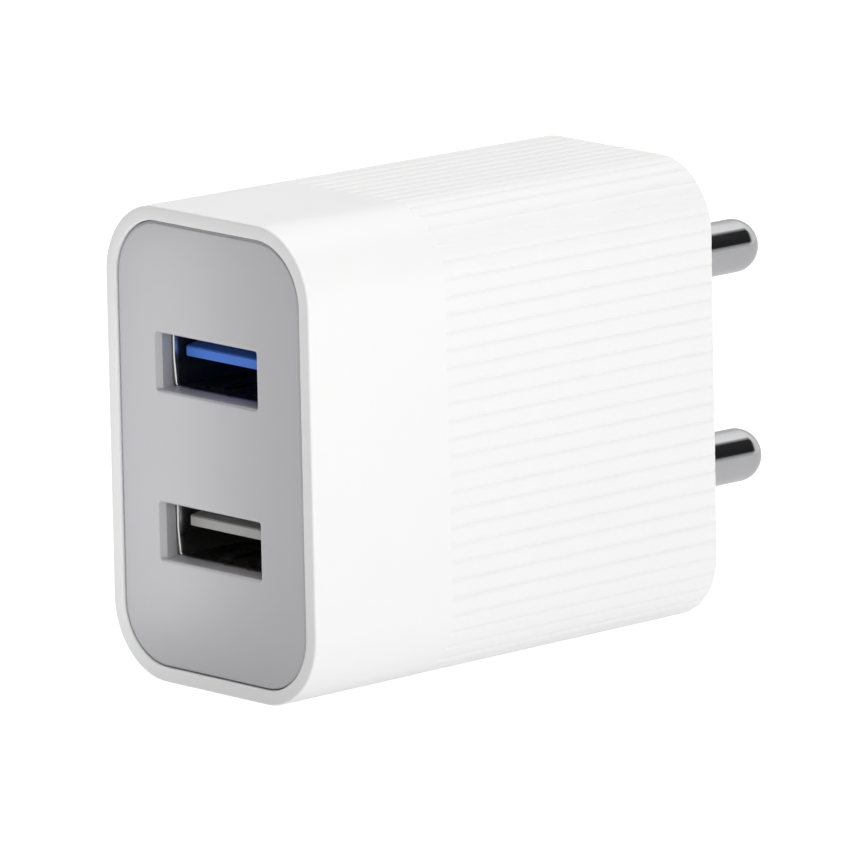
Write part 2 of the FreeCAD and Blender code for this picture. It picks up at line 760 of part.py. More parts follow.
def insulation_sheet():
    """Thin film between the solder face and the housing wall."""
    wall = -INNER_WIDTH / 2
    sheet = box((wall + 0.1, -39.0, -13.6), (wall + 0.3, -6.0, 13.6))
    return sheet.makeFillet(1.5, [e for e in sheet.Edges if e.BoundBox.XLength > 0.1])


def build():
    """Every node's shape by name."""
    nodes = {}
    pins = []
    for place, z in pin_centres().items():
        pin = pin_shape(z)
        pins.append(pin)
        nodes["plug_pin_" + place] = pin
        nodes["pin_contact_" + place] = pin_contact(z)
    nodes["housing"] = housing(pins)
    nodes["front_panel"] = front_panel()
    for place, z in port_centres().items():
        contacts = port_contacts(z)
        nodes["port_shell_" + place] = port_shell(z)
        nodes["port_contacts_" + place] = contacts
        nodes["port_tongue_" + place] = port_tongue(z, contacts)
    for name, (y, z, diameter, length, _) in CAPACITORS.items():
        nodes[name + "_can"] = capacitor_can(y, z, diameter, length)
        nodes[name + "_sleeve"] = capacitor_sleeve(y, z, diameter, length)
    nodes["capacitor_leads"] = capacitor_leads()
    nodes["transformer_core_upper"] = core_half(1)
    nodes["transformer_core_lower"] = core_half(-1)
    nodes["transformer_pins"] = transformer_pins()
    nodes["transformer_bobbin"] = transformer_bobbin(nodes["transformer_pins"])
    nodes["transformer_winding"] = wound_layer(0.0, 2.4)
    nodes["transformer_tape"] = wound_layer(2.4, 2.6)
    nodes["choke_core"] = choke_core()
    nodes["choke_winding"] = choke_winding()
    nodes["choke_leads"] = choke_leads()
    nodes["y_capacitor"] = y_capacitor()
    nodes["y_capacitor_leads"] = y_capacitor_leads(nodes["y_capacitor"])
    nodes["fuse_resistor"] = fuse_resistor()
    nodes["fuse_resistor_leads"] = fuse_resistor_leads()
    for name, (centre, size, side, count) in CHIPS.items():
        nodes[name] = chip(centre, size, side)
        nodes[name + "_legs"] = chip_legs(centre, size, side, count)
    nodes["chip_resistors"] = chip_resistors()
    wire_names = ["pin_contact_upper", "pin_contact_lower", "port_shell_upper", "port_shell_lower",
                  "port_contacts_upper", "port_contacts_lower", "capacitor_leads", "transformer_pins",
                  "choke_leads", "y_capacitor_leads", "fuse_resistor_leads"]
    wires = [nodes[name] for name in wire_names]
    through = tails(wires)
    nodes["main_board"] = main_board(through)
    nodes["solder_joints"] = solder_joints(through, wires)
    nodes["insulation_sheet"] = insulation_sheet()
    return nodes


os.makedirs("parts", exist_ok=True)
for node, shape in build().items():
    shape.exportStep("parts/" + node + ".step")
    print(node, len(shape.Solids), "solids", round(shape.Volume, 1), "mm3", shape.isValid())
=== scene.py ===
import bpy
import bmesh
import json
import math
from mathutils import Matrix, Vector, geometry


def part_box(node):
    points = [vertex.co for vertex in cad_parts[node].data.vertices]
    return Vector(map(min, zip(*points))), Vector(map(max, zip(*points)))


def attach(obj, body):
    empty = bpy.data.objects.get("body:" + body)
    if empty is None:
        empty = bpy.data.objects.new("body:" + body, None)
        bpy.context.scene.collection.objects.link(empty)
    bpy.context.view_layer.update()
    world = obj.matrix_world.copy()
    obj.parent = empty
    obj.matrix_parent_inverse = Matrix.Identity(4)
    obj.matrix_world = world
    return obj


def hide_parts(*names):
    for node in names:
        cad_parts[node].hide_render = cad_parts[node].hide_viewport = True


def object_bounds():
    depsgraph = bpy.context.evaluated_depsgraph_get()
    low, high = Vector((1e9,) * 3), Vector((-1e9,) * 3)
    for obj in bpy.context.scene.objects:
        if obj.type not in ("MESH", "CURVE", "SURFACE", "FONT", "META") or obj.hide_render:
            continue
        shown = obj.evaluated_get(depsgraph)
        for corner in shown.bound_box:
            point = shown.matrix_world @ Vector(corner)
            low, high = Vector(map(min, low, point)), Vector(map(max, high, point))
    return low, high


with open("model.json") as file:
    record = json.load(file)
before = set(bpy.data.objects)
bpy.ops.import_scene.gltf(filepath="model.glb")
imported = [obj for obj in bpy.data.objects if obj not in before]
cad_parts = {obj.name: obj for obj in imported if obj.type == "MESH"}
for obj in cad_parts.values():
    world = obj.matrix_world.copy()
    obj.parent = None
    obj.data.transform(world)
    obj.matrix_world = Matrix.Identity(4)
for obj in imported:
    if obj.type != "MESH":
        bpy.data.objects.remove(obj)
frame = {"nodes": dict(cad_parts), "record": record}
cad_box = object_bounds()

MM = 0.001
BODY = "root"

# Sizes read from the frame
housing_low, housing_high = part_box("housing")
FRONT = housing_low.y
BACK = housing_high.y
WIDTH = housing_high.x - housing_low.x
HEIGHT = housing_high.z - housing_low.z
PANEL_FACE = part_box("front_panel")[0].y

# Flat ring beside a rounded edge, which keeps the large flat face next to it evenly shaded
SUPPORT = 0.08 * MM

# Housing
CORNER = 6.7 * MM
DRAFT = 0.4 * MM
EDGE = 0.2 * MM
RIM = 1.3 * MM
RIM_EDGE = 0.12 * MM
WALL = 1.8 * MM
BACK_WALL = 2.4 * MM
RIB_COUNT = 80
RIB_STEPS = 16
RIB_DEPTH = 0.14 * MM
RIB_START = FRONT + 15.8 * MM
RIB_RAMP = 0.12 * MM
RIB_FOOT = 0.04 * MM
RIBBED_BANDS = 6
SMOOTH_BANDS = 4
BOSS_RADIUS = 4.3 * MM

# Rails for the board; each pair of rails stops short of the housing's wall, where the corner begins
RAIL_WIDTH = 1.0 * MM
RAIL_PLAY = 0.1 * MM
RAIL_GRIP = 0.8 * MM
RAIL_START = FRONT + 8 * MM
INNER_RAIL_STOP = 0.45 * MM
OUTER_RAIL_STOP = 0.9 * MM

# Front panel
PANEL_GAP = 0.08 * MM
PANEL_THICKNESS = 2.05 * MM
PANEL_EDGE = 0.28 * MM
PANEL_BACK = PANEL_FACE + PANEL_THICKNESS
HOOK_WIDTH = 4.0 * MM
HOOK_PLACE = 3.4 * MM
HOOK_LENGTH = 6.0 * MM
HOOK_THICKNESS = 1.0 * MM
HOOK_PLAY = 0.1 * MM
HOOK_BARB = 0.45 * MM
HOOK_BARB_LENGTH = 1.2 * MM
HOOK_ROOT = 0.5 * MM

# Port holes in the panel, measured from the middle of each port
HOLE_LEFT = 6.35 * MM
HOLE_RIGHT = 6.45 * MM
HOLE_TOP = 2.37 * MM
HOLE_BOTTOM = 2.68 * MM
HOLE_CORNER = 0.2 * MM
HOLE_EDGE = 0.22 * MM
HOLE_BEVEL = 0.42 * MM
HOLE_BEVEL_SLOPE = 0.9
HOLE_BEVEL_END = 0.02 * MM
HOLE_BEVEL_FOOT = 0.04 * MM
HOLE_DEPTH = 1.5 * MM
HOLE_RISE = 0.2 * MM
COLLAR = 1.0 * MM
COLLAR_DEPTH = 2.5 * MM

# Port shells
SHELL_WIDTH = 13.1 * MM
SHELL_SHEET = 0.3 * MM
SHELL_PLAY = 0.1 * MM
SHELL_CORNER = 0.5 * MM
SHELL_CORNER_STEPS = 4
SHELL_SKIN_CHANGE = 0.35 * MM
SHELL_LEAN = 0.05 * MM
SHELL_CUT_BACK = 0.22 * MM
SHELL_CUT_WIDTH = 1.6 * MM
SHELL_CUT_RAMP = 1.5 * MM
SHELL_LIP_STEPS = 6
SHELL_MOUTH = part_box("port_shell_upper")[0].y
SLOT_EDGES = [x * MM for x in (4.1, 1.5, -1.5, -4.1)]
SLOT_FRONT = 1.2 * MM
SLOT_REAR = 8.2 * MM
LEAF_PLACE = 2.8 * MM
LEAF_WIDTH = 2.0 * MM
LEAF_DIP = 0.35 * MM
LEAF_TIP = 2.0 * MM
LEAF_BEND_FRONT = 2.9 * MM
LEAF_BEND_REAR = 3.4 * MM
LEAF_REAR = 8.3 * MM
LEAF_TIP_PLAY = 0.05 * MM
LEG_PLACES = (4.5 * MM, 10.5 * MM)
LEG_WIDTH = 2.4 * MM
LEG_INSET = 0.05 * MM
LEG_TAIL = 0.9 * MM
LEG_TAIL_SIDES = (0.6 * MM, 1.8 * MM)

# Port tongues
TONGUE_WIDTH = 11.3 * MM
TONGUE_THICKNESS = 1.79 * MM
TONGUE_RAISE = 0.07 * MM
TONGUE_NOSE = 0.80 * MM
TONGUE_BEVEL = 0.12 * MM
TONGUE_RAMP = 4.5 * MM
TONGUE_SOFT = 0.12 * MM
TONGUE_NOSE_LIFT = 0.06 * MM
TONGUE_CHAMFER = 0.08 * MM
BLOCK_LENGTH = 3.0 * MM
BLOCK_CORNER = 0.2 * MM

# Plug pins
PIN_RADIUS = 2.4 * MM
PIN_ROOT_RADIUS = 2.65 * MM
PIN_ROOT_FRONT = BACK - 7.0 * MM
PIN_STUB_RADIUS = 1.5 * MM
PIN_STUB_CHAMFER = 0.1 * MM
PIN_GROOVE_FRONT = -4.55 * MM
PIN_GROOVE_BACK = -3.5 * MM
PIN_GROOVE_DEPTH = 0.45 * MM
PIN_BANDS = 6
PIN_POINTS = 96


# ---------------------------------------------------------------- mesh helpers

def mesh_object(name, vertices, faces, smooth_angle=40):
    """Mesh object from plain lists, smooth shaded apart from edges sharper than the angle."""
    mesh = bpy.data.meshes.new(name)
    mesh.from_pydata([tuple(v) for v in vertices], [], faces)
    mesh.validate()
    work = bmesh.new()
    work.from_mesh(mesh)
    bmesh.ops.remove_doubles(work, verts=work.verts, dist=1e-8)
    bmesh.ops.recalc_face_normals(work, faces=work.faces)
    limit = math.radians(smooth_angle)
    for face in work.faces:
        face.smooth = True
    for edge in work.edges:
        edge.smooth = len(edge.link_faces) == 2 and edge.calc_face_angle() < limit
    work.to_mesh(mesh)
    work.free()
    piece = bpy.data.objects.new(name, mesh)
    bpy.context.scene.collection.objects.link(piece)
    return piece


def even_shading(piece):
    """Lets large flat faces decide the normals where they meet small rounded ones."""
    modifier = piece.modifiers.new("even_shading", "WEIGHTED_NORMAL")
    modifier.weight = 100
    modifier.keep_sharp = True


class Shape:
    """Collects vertices and faces, ring by ring."""

    def __init__(self):
        self.vertices = []
        self.faces = []

    def ring(self, points):
        """Adds points and gives back their numbers."""
        first = len(self.vertices)
        self.vertices += [Vector(p) for p in points]
        return list(range(first, len(self.vertices)))

    def bridge(self, a, b):
        """Quads between two rings of the same length."""
        for i in range(len(a)):
            j = (i + 1) % len(a)
            self.faces.append((a[i], a[j], b[j], b[i]))

    def skin(self, rings):
        """Adds every ring of points, joined to the one before, and gives back the numbers of all."""
        numbers = [self.ring(points) for points in rings]
        for a, b in zip(numbers, numbers[1:]):
            self.bridge(a, b)
        return numbers

    def cap(self, ring):
        """One flat face that closes a ring."""
        self.faces.append(tuple(ring))

    def add_solid(self, rings):
        """Skin over the rings, closed by a flat face at both ends."""
        numbers = self.skin(rings)
        self.cap(numbers[0])
        self.cap(numbers[-1])

    def flatten(self, ring):
        """The ring's points in the XZ plane."""
        return [Vector((self.vertices[n].x, self.vertices[n].z)) for n in ring]

    def fill(self, outer, holes):
        """Flat face in an XZ plane inside one ring and outside the others."""
        loops = [outer] + holes
        numbers = [n for loop in loops for n in loop]
        outlines = [self.flatten(loop) for loop in loops]
        flat = [point for outline in outlines for point in outline]
        edges = []
        start = 0
        for loop in loops:
            edges += [(start + i, start + (i + 1) % len(loop)) for i in range(len(loop))]
            start += len(loop)
        _, _, faces, originals, _, _ = geometry.delaunay_2d_cdt(flat, edges, [], 0, 1e-9)
        for face in faces:
            corners = [originals[i][0] for i in face]
            centre = sum((flat[i] for i in corners), Vector((0, 0))) / len(corners)
            if inside(centre, outlines[0]) and not any(inside(centre, hole) for hole in outlines[1:]):
                self.faces.append(tuple(numbers[i] for i in corners))

    def add_prism(self, profile, offset):
        """Closed prism: a flat outline and its copy moved by the offset."""
        near = self.ring(profile)
        far = self.ring([Vector(p) + Vector(offset) for p in profile])
        self.bridge(near, far)
        self.cap(reversed(near))
        self.cap(far)

    def build(self, name, smooth_angle=40):
        """Mesh object from everything collected."""
        return mesh_object(name, self.vertices, self.faces, smooth_angle)


def inside(point, outline):
    """True if a 2-D point is inside a closed outline."""
    hit = False
    for a, b in zip(outline, outline[1:] + outline[:1]):
        if (a.y > point.y) != (b.y > point.y):
            if point.x < (b.x - a.x) * (point.y - a.y) / (b.y - a.y) + a.x:
                hit = not hit
    return hit


def outline_place(fraction, width, height, radius):
    """Point (x, z) and outward normal on a rounded rectangle, at a fraction of the way round from +X."""
    flat_x = width / 2 - radius
    flat_z = height / 2 - radius
    quarter = flat_z + math.pi / 2 * radius + flat_x
    turn = fraction % 1.0 * 4
    count = int(turn)
    along = (turn - count) * quarter
    if count % 2:
        along = quarter - along
    if along <= flat_z:
        x, z, nx, nz = width / 2, along, 1.0, 0.0
    elif along >= quarter - flat_x:
        x, z, nx, nz = quarter - along, height / 2, 0.0, 1.0
    else:
        angle = (along - flat_z) / radius
        nx, nz = math.cos(angle), math.sin(angle)
        x, z = flat_x + radius * nx, flat_z + radius * nz
    side_x = -1 if count in (1, 2) else 1
    side_z = -1 if count in (2, 3) else 1
    return x * side_x, z * side_z, nx * side_x, nz * side_z


def corner_ring(y, width, height, radius, centre_x=0.0, centre_z=0.0, steps=8):
    """Rounded rectangle ring with points only where they are needed: each corner in even steps."""
    points = []
    for side_x, side_z, start in ((1, 1, 0), (-1, 1, 90), (-1, -1, 180), (1, -1, 270)):
        for step in range(steps + 1):
            angle = math.radians(start + 90 * step / steps)
            x = side_x * (width / 2 - radius) + radius * math.cos(angle)
            z = side_z * (height / 2 - radius) + radius * math.sin(angle)
            points.append((centre_x + x, y, centre_z + z))
    return points


def round_ring(y, radius, centre_z, count=64):
    """Circle in the plane at y, centred on x = 0."""
    angles = [2 * math.pi * i / count for i in range(count)]
    return [(radius * math.cos(a), y, centre_z + radius * math.sin(a)) for a in angles]


def quarter_turn(steps):
    """(sine, cosine) pairs from 0 to 90 degrees in even steps."""
    angles = [math.pi / 2 * i / steps for i in range(steps + 1)]
    return [(math.sin(angle), math.cos(angle)) for angle in angles]


# ---------------------------------------------------------------- housing

def rib_sink(step, amount):
    """How far the surface lies below the crest line at a step round the housing."""
    phase = step / RIB_STEPS
    from_crest = abs(phase - round(phase)) * 2
    return amount * RIB_DEPTH * from_crest ** 4


def housing_ring(y, inset, ribs, drafted=True):
    """One ring of the housing, with the ribs at a share of their full depth."""
    narrowing = inset + (DRAFT * (y - FRONT) / (BACK - FRONT) if drafted else 0.0)
    size = WIDTH - 2 * narrowing, HEIGHT - 2 * narrowing, CORNER - narrowing
    points = []
    count = RIB_COUNT * RIB_STEPS
    for step in range(count):
        x, z, nx, nz = outline_place(step / count, *size)
        sink = rib_sink(step, ribs)
        points.append((x - nx * sink, y, z - nz * sink))
    return points


def housing_rings():
    """Rings from the back face's edge, over the outside, round the rim and into the cavity."""
    rings = [housing_ring(BACK, EDGE + SUPPORT, 0.0)]
    for sine, cosine in quarter_turn(6):
        rings.append(housing_ring(BACK - EDGE * (1 - cosine), EDGE * (1 - sine), 1 - cosine))
    ribbed_from, ribbed_to = BACK - EDGE, RIB_START + RIB_RAMP
    for i in range(1, RIBBED_BANDS + 1):
        y = ribbed_from + (ribbed_to - ribbed_from) * i / RIBBED_BANDS
        rings.append(housing_ring(y, 0.0, 1.0))
    for share in (0.85, 0.5, 0.15, 0.0):
        rings.append(housing_ring(RIB_START + RIB_RAMP * share, 0.0, share))
    smooth_from, smooth_to = RIB_START - RIB_FOOT, FRONT + EDGE
    for i in range(SMOOTH_BANDS + 1):
        y = smooth_from + (smooth_to - smooth_from) * i / SMOOTH_BANDS
        rings.append(housing_ring(y, 0.0, 0.0))
    for sine, cosine in quarter_turn(8)[1:]:
        rings.append(housing_ring(FRONT + EDGE * (1 - sine), EDGE * (1 - cosine), 0.0, False))
    for sine, cosine in quarter_turn(4):
        y = FRONT + RIM_EDGE * (1 - cosine)
        rings.append(housing_ring(y, RIM - RIM_EDGE * (1 - sine), 0.0, False))
    rings.append(housing_ring(PANEL_BACK, RIM, 0.0, False))
    rings.append(housing_ring(PANEL_BACK, WALL, 0.0, False))
    rings.append(housing_ring(BACK - BACK_WALL, WALL, 0.0, False))
    return rings


def pin_places():
    """Middle height and box of each plug pin."""
    places = {}
    for name in ("plug_pin_upper", "plug_pin_lower"):
        low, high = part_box(name)
        places[name] = ((low.z + high.z) / 2, low, high)
    return places


def make_housing():
    """White ribbed cup, open at the front, with bosses round the pin roots."""
    shape = Shape()
    rings = shape.skin(housing_rings())
    back_holes = []
    inner_holes = []
    for centre_z, _, _ in pin_places().values():
        sleeve = shape.skin([
            round_ring(BACK, PIN_ROOT_RADIUS, centre_z),
            round_ring(PIN_ROOT_FRONT, PIN_ROOT_RADIUS, centre_z),
            round_ring(PIN_ROOT_FRONT, BOSS_RADIUS, centre_z),
            round_ring(BACK - BACK_WALL, BOSS_RADIUS, centre_z),
        ])
        back_holes.append(sleeve[0])
        inner_holes.append(sleeve[-1])
    shape.fill(rings[0], back_holes)
    shape.fill(rings[-1], inner_holes)
    piece = shape.build("housing_shell", 50)
    even_shading(piece)
    return piece


def make_rails():
    """Rails inside the housing that hold the board's top and bottom edges."""
    board_low, board_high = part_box("main_board")
    shape = Shape()
    wall = HEIGHT / 2 - WALL
    length = BACK - BACK_WALL - RAIL_START
    rails = (
        (board_high.x + RAIL_PLAY, wall - INNER_RAIL_STOP),
        (board_low.x - RAIL_PLAY - RAIL_WIDTH, wall - OUTER_RAIL_STOP),
    )
    for side in (1, -1):
        edge = side * (board_high.z - RAIL_GRIP)
        for near_x, reach in rails:
            far_x = near_x + RAIL_WIDTH
            profile = [(near_x, edge), (far_x, edge), (far_x, side * reach), (near_x, side * reach)]
            shape.add_prism([(x, RAIL_START, z) for x, z in profile], (0, length, 0))
    return shape.build("housing_rails")


# ---------------------------------------------------------------- front panel

def port_places():
    """Middle (x, z) of each port, from its tongue's and its shell's boxes."""
    places = {}
    for name in ("upper", "lower"):
        tongue_low, tongue_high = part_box("port_tongue_" + name)
        shell_low, shell_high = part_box("port_shell_" + name)
        places[name] = ((tongue_low.x + tongue_high.x) / 2, (shell_low.z + shell_high.z) / 2)
    return places


def panel_ring(y, inset):
    """Ring of the panel's outline."""
    narrowing = RIM + PANEL_GAP + inset
    return corner_ring(y, WIDTH - 2 * narrowing, HEIGHT - 2 * narrowing, CORNER - narrowing, steps=24)


def hole_ring(y, grow, grow_left, centre):
    """Ring of a port hole, grown outwards by one amount on the left and another on the other sides.

    The lower wall rises towards the back, over the lip of the metal shell behind it.
    """
    left = centre[0] - HOLE_LEFT - grow_left
    right = centre[0] + HOLE_RIGHT + grow
    rise = HOLE_RISE * (y - PANEL_FACE) / HOLE_DEPTH
    low = centre[1] - HOLE_BOTTOM - grow + rise
    high = centre[1] + HOLE_TOP + grow
    middle = (left + right) / 2, (low + high) / 2
    return corner_ring(y, right - left, high - low, HOLE_CORNER + grow, *middle, steps=6)


def port_hole(shape, centre, shell_size):
    """Rings of one port hole: soft edge, wider bevel on the left, wall, pocket and collar behind."""
    rings = [hole_ring(PANEL_FACE, HOLE_EDGE + SUPPORT, HOLE_BEVEL + SUPPORT, centre)]
    for sine, cosine in quarter_turn(4):
        depth = HOLE_EDGE * (1 - cosine)
        bevel = HOLE_BEVEL - HOLE_BEVEL_SLOPE * depth
        rings.append(hole_ring(PANEL_FACE + depth, HOLE_EDGE * (1 - sine), bevel, centre))
    bevel_end = PANEL_FACE + HOLE_BEVEL
    rings.append(hole_ring(bevel_end, 0.0, HOLE_BEVEL_END, centre))
    rings.append(hole_ring(bevel_end + HOLE_BEVEL_FOOT, 0.0, 0.0, centre))
    wall_end = PANEL_FACE + HOLE_DEPTH
    rings.append(hole_ring(wall_end, 0.0, 0.0, centre))
    collar_end = PANEL_BACK + COLLAR_DEPTH
    for y, grow in ((wall_end, 0.0), (collar_end, 0.0), (collar_end, COLLAR), (PANEL_BACK, COLLAR)):
        width, height = [size + 2 * SHELL_PLAY + 2 * grow for size in shell_size]
        corner = SHELL_CORNER + SHELL_PLAY + grow
        rings.append(corner_ring(y, width, height, corner, *centre, steps=6))
    numbers = shape.skin(rings)
    return numbers[0], numbers[-1]


def add_hook(shape, x, side):
    """Snap hook behind the panel, with its barb outwards."""
    outer = HEIGHT / 2 - WALL - HOOK_PLAY
    inner = outer - HOOK_THICKNESS
    root = PANEL_BACK - HOOK_ROOT
    tip = PANEL_BACK + HOOK_LENGTH
    catch = tip - HOOK_BARB_LENGTH
    profile = [
        (root, inner), (tip, inner), (tip, outer),
        (catch, outer + HOOK_BARB), (catch, outer), (root, outer),
    ]
    left = x - HOOK_WIDTH / 2
    shape.add_prism([(left, y, side * z) for y, z in profile], (HOOK_WIDTH, 0, 0))


def make_panel():
    """Grey inset panel with rounded edges, two port holes and four hooks."""
    shape = Shape()
    rings = [panel_ring(PANEL_FACE, PANEL_EDGE + SUPPORT)]
    for sine, cosine in quarter_turn(10):
        rings.append(panel_ring(PANEL_FACE + PANEL_EDGE * (1 - cosine), PANEL_EDGE * (1 - sine)))
    rings.append(panel_ring(PANEL_BACK, 0.0))
    edge = shape.skin(rings)
    fronts, backs = [], []
    for name, centre in port_places().items():
        low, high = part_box("port_shell_" + name)
        front, back = port_hole(shape, centre, (SHELL_WIDTH, high.z - low.z))
        fronts.append(front)
        backs.append(back)
    shape.fill(edge[0], fronts)
    shape.fill(edge[-1], backs)
    for x in (-HOOK_PLACE, HOOK_PLACE):
        for side in (1, -1):
            add_hook(shape, x, side)
    piece = shape.build("front_panel_plate", 50)
    even_shading(piece)
    return piece


# ---------------------------------------------------------------- ports

def shell_outline(width, height):
    """Points (x, z) round the shell: rounded corners, the slots' edges and the middle of each side."""
    outer_skin = SHELL_WIDTH - width < SHELL_SKIN_CHANGE
    radius = SHELL_CORNER if outer_skin else SHELL_CORNER - SHELL_SHEET
    top = [(x, height / 2) for x in SLOT_EDGES]
    bottom = [(-x, -height / 2) for x in SLOT_EDGES]
    corners = (
        (1, 1, 0, top),
        (-1, 1, 90, [(-width / 2, 0.0)]),
        (-1, -1, 180, bottom),
        (1, -1, 270, [(width / 2, 0.0)]),
    )
    points = []
    for side_x, side_z, start, following in corners:
        for step in range(SHELL_CORNER_STEPS + 1):
            angle = math.radians(start + 90 * step / SHELL_CORNER_STEPS)
            x = side_x * (width / 2 - radius) + radius * math.cos(angle)
            z = side_z * (height / 2 - radius) + radius * math.sin(angle)
            points.append((x, z))
        points += following
    return points


def shell_ring(y, inward, height, centre, cut_back):
    """Ring of the shell, set inward from its full width, with its lower side edges cut back."""
    width = SHELL_WIDTH - 2 * inward
    ring = []
    for x, z in shell_outline(width, height):
        sideways = min(1.0, max(0.0, (abs(x) - width / 2 + SHELL_CUT_WIDTH) / SHELL_CUT_RAMP))
        down = min(1.0, max(0.0, -z / (height / 2)))
        ring.append((centre[0] + x, y + cut_back * sideways * down, centre[1] + z))
    return ring


def add_leaf(shape, centre, x, side, front, wall):
    """Leaf spring bent inwards, attached at its rear end."""
    under = wall - SHELL_SHEET
    profile = [
        (LEAF_REAR, wall), (LEAF_REAR, under),
        (LEAF_BEND_REAR, under - LEAF_DIP), (LEAF_BEND_FRONT, under - LEAF_DIP),
        (LEAF_TIP, under), (LEAF_TIP, wall - LEAF_TIP_PLAY),
        (LEAF_BEND_FRONT, wall - LEAF_DIP), (LEAF_BEND_REAR, wall - LEAF_DIP),
    ]
    left = centre[0] + x - LEAF_WIDTH / 2
    points = [(left, front + depth, centre[1] + side * z) for depth, z in profile]
    shape.add_prism(points, (LEAF_WIDTH, 0, 0))


def add_leg(shape, centre, y, side, wall):
    """Leg of the shell that reaches the board, with a narrower tail through it."""
    board_low, board_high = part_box("main_board")
    left = centre[0] - SHELL_WIDTH / 2 + LEG_INSET
    tail = board_low.x - LEG_TAIL
    near, far = LEG_TAIL_SIDES
    profile = [
        (left, 0.0), (left, LEG_WIDTH), (board_high.x, LEG_WIDTH), (board_high.x, far),
        (tail, far), (tail, near), (board_high.x, near), (board_high.x, 0.0),
    ]
    z = centre[1] + side * (wall - SHELL_SHEET)
    shape.add_prism([(x, y + along, z) for x, along in profile], (0, 0, side * SHELL_SHEET))


def add_shell_walls(shape, outer, inner):
    """Outer and inner faces between the rings, with two slots above and two below cut through both."""
    count = len(outer[0])
    top_slots = [SHELL_CORNER_STEPS + 1, SHELL_CORNER_STEPS + 3]
    slots = top_slots + [i + count // 2 for i in top_slots]
    slotted_row = 1
    for row in range(len(outer) - 1):
        for i in range(count):
            j = (i + 1) % count
            if row == slotted_row and i in slots:
                corners = [(row, i), (row, j), (row + 1, j), (row + 1, i)]
                for (ra, ia), (rb, ib) in zip(corners, corners[1:] + corners[:1]):
                    shape.faces.append((outer[ra][ia], outer[rb][ib], inner[rb][ib], inner[ra][ia]))
            else:
                shape.cap([outer[row][i], outer[row][j], outer[row + 1][j], outer[row + 1][i]])
                shape.cap([inner[row][i], inner[row + 1][i], inner[row + 1][j], inner[row][j]])


def add_shell_lip(shape, front, height, centre, outer, inner):
    """Rounded front edge that joins the first ring outside to the first ring inside."""
    half = SHELL_SHEET / 2
    previous = outer
    for step in range(1, SHELL_LIP_STEPS):
        angle = math.pi * step / SHELL_LIP_STEPS
        inward = half - half * math.cos(angle)
        y = front + half - half * math.sin(angle)
        points = shell_ring(y, SHELL_LEAN + inward, height - 2 * inward, centre, SHELL_CUT_BACK)
        ring = shape.ring(points)
        shape.bridge(previous, ring)
        previous = ring
    shape.bridge(previous, inner)


def make_port_shell(name, centre):
    """Folded sheet-metal shell with a leaning front lip, slots, leaf springs and board legs."""
    low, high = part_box("port_shell_" + name)
    front, rear = low.y, high.y
    height = high.z - low.z
    rows = [
        (front + SHELL_SHEET / 2, SHELL_LEAN, SHELL_CUT_BACK),
        (front + SLOT_FRONT, 0.0, 0.0),
        (front + SLOT_REAR, 0.0, 0.0),
        (rear, 0.0, 0.0),
    ]
    shape = Shape()
    outer, inner = [
        [
            shape.ring(shell_ring(y, lean + inward, height - 2 * inward, centre, cut_back))
            for y, lean, cut_back in rows
        ]
        for inward in (0.0, SHELL_SHEET)
    ]
    add_shell_walls(shape, outer, inner)
    add_shell_lip(shape, front, height, centre, outer[0], inner[0])
    shape.bridge(outer[-1], inner[-1])
    for x in (-LEAF_PLACE, LEAF_PLACE):
        for side in (1, -1):
            add_leaf(shape, centre, x, side, front, height / 2)
    for offset in LEG_PLACES:
        for side in (1, -1):
            add_leg(shape, centre, front + offset, side, height / 2)
    return shape.build("port_shell_" + name + "_folded", 50)


def tongue_ring(y, narrower, low_z, high_z, centre):
    """Section of the tongue with its four corners cut, at heights above the tongue's underside."""
    side = TONGUE_WIDTH / 2 - narrower
    cut = TONGUE_CHAMFER
    outline = [
        (side, low_z + cut), (side, high_z - cut), (side - cut, high_z), (cut - side, high_z),
        (-side, high_z - cut), (-side, low_z + cut), (cut - side, low_z), (side - cut, low_z),
    ]
    bottom = centre[1] + TONGUE_RAISE
    return [(centre[0] + x, y, bottom + z) for x, z in outline]


def make_tongue(name, centre):
    """Moulded tongue with a bevelled nose and the block that closes the shell's rear."""
    low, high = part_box("port_tongue_" + name)
    shell_low, shell_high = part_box("port_shell_" + name)
    front = low.y
    block = high.y - BLOCK_LENGTH
    soft = TONGUE_SOFT
    sections = [
        (front, soft, TONGUE_NOSE_LIFT, TONGUE_NOSE),
        (front + soft / 2, soft / 3, 0.0, TONGUE_NOSE + soft / 2),
        (front + TONGUE_BEVEL, 0.0, 0.0, TONGUE_NOSE + TONGUE_BEVEL),
        (front + TONGUE_BEVEL + TONGUE_RAMP, 0.0, 0.0, TONGUE_THICKNESS),
        (block, 0.0, 0.0, TONGUE_THICKNESS),
    ]
    width = SHELL_WIDTH - 2 * SHELL_SHEET
    height = shell_high.z - shell_low.z - 2 * SHELL_SHEET
    ends = (block, high.y)
    shape = Shape()
    shape.add_solid([tongue_ring(*section, centre) for section in sections])
    shape.add_solid([corner_ring(y, width, height, BLOCK_CORNER, *centre, steps=3) for y in ends])
    return shape.build("port_tongue_" + name + "_moulded", 30)


# ---------------------------------------------------------------- pins

